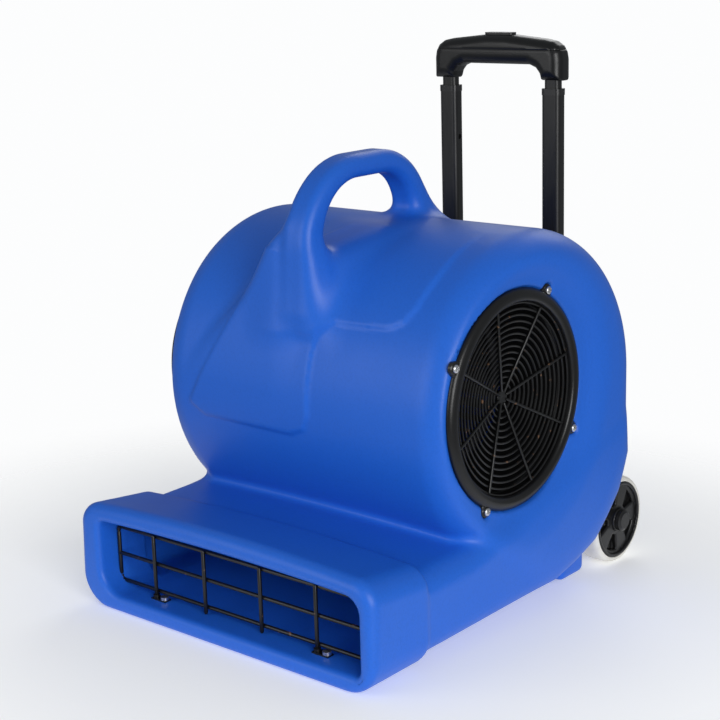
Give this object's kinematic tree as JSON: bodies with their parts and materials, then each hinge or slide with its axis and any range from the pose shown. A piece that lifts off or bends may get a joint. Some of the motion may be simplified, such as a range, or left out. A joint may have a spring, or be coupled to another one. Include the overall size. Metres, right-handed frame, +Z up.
{
  "type": "air mover",
  "caption": "Scroll-cased carpet blower with a low wide outlet, side inlets, loop handle, telescopic trolley handle and rear wheels.",
  "frame": {"origin": "on the floor, under the middle of the whole machine", "axes": "+Z up, -Y out of the air outlet, +X to the side of the free inlet"},
  "size_m": [0.402, 0.5256, 0.5864],
  "materials": {
    "blue_shell": "rotomoulded, satin, fine grain",
    "black_moulding": "injection moulded, fine texture",
    "black_wire": "plastic coated wire",
    "bright_screws": "zinc plated",
    "black_tube": "black anodised, satin",
    "pale_tyre": "smooth, pale",
    "black_rubber": "matt",
    "fan_plastic": "moulded",
    "bright_steel": "ground",
    "bearing_steel": "polished",
    "cast_bells": "die cast",
    "motor_paint": "baked enamel",
    "core_iron": "laminated",
    "copper": "enamelled wire",
    "capacitor_can": "smooth",
    "red_lens": "translucent"
  },
  "bodies": {
    "machine": {"housing": "blue_shell", "inlet_ring_left": "black_moulding", "inlet_ring_right": "black_moulding", "outer_collars": "black_moulding", "axle_shoes": "black_moulding", "axle_caps": "black_moulding", "control_plate": "black_moulding", "speed_switch": "black_moulding", "cord_gland": "black_moulding", "upper_brackets": "black_moulding", "lower_bracket": "black_moulding", "wheel_spacers": "black_moulding", "inlet_guard_left": "black_wire", "inlet_guard_right": "black_wire", "outlet_grille": "black_wire", "grille_clips": "black_wire", "inlet_screws_left": "bright_screws", "inlet_screws_right": "bright_screws", "grille_bolts": "bright_screws", "grille_nuts": "bright_screws", "panel_screws": "bright_screws", "bracket_screws": "bright_screws", "spider_screws": "bright_screws", "motor_bolts": "bright_screws", "outer_tube_left": "black_tube", "outer_tube_right": "black_tube", "front_foot_left": "black_rubber", "front_foot_right": "black_rubber", "axle": "bright_steel", "rear_bearing": "bearing_steel", "front_bearing": "bearing_steel", "motor_rear_bell": "cast_bells", "motor_front_bell": "cast_bells", "motor_case": "motor_paint", "motor_spider": "motor_paint", "capacitor_clamp": "motor_paint", "motor_stator": "core_iron", "motor_windings": "copper", "run_capacitor": "capacitor_can", "power_lamp": "red_lens"},
    "fan": {"motor_shaft": "bright_steel", "motor_rotor": "core_iron", "fan_wheel": "fan_plastic", "fan_hub": "cast_bells", "hub_set_screw": "bright_screws"},
    "left_wheel": {"tyre_left": "pale_tyre", "wheel_hub_left": "black_moulding"},
    "right_wheel": {"tyre_right": "pale_tyre", "wheel_hub_right": "black_moulding"},
    "middle_stage": {"middle_tube_left": "black_tube", "middle_tube_right": "black_tube", "middle_collars": "black_moulding"},
    "handle": {"inner_tube_left": "black_tube", "inner_tube_right": "black_tube", "grip_lower": "black_moulding", "grip_upper": "black_moulding", "button_spring": "bright_steel"},
    "button": {"grip_button": "black_moulding"},
    "knob": {"speed_knob": "black_moulding"}
  },
  "joints": [
    {"name": "fan_spin", "type": "hinge", "parent": "machine", "child": "fan", "pos_m": [0, -0.02409, 0.23585], "axis": [1, 0, 0], "continuous": true},
    {"name": "left_wheel_spin", "type": "hinge", "parent": "machine", "child": "left_wheel", "pos_m": [0, 0.21336, 0.0495], "axis": [1, 0, 0], "continuous": true},
    {"name": "right_wheel_spin", "type": "hinge", "parent": "machine", "child": "right_wheel", "pos_m": [0, 0.21336, 0.0495], "axis": [1, 0, 0], "continuous": true},
    {"name": "middle_stage_slide", "type": "slide", "parent": "machine", "child": "middle_stage", "axis": [0, -0.0441, 0.999], "range_m": [-0.1435, 0.1]},
    {"name": "inner_stage_slide", "type": "slide", "parent": "middle_stage", "child": "handle", "axis": [0, -0.0441, 0.999], "range_m": [0, 0.23]},
    {"name": "grip_button_press", "type": "slide", "parent": "handle", "child": "button", "axis": [0, 0.0441, -0.999], "range_m": [0, 0.004], "stiffness_N_per_m": 600, "springref_m": -0.002, "deforming": ["button_spring"]},
    {"name": "speed_knob_turn", "type": "hinge", "parent": "machine", "child": "knob", "pos_m": [-0.014, 0.14686, 0.33474], "axis": [0, 0.7823, 0.6229], "range_deg": [0, 135]}
  ]
}
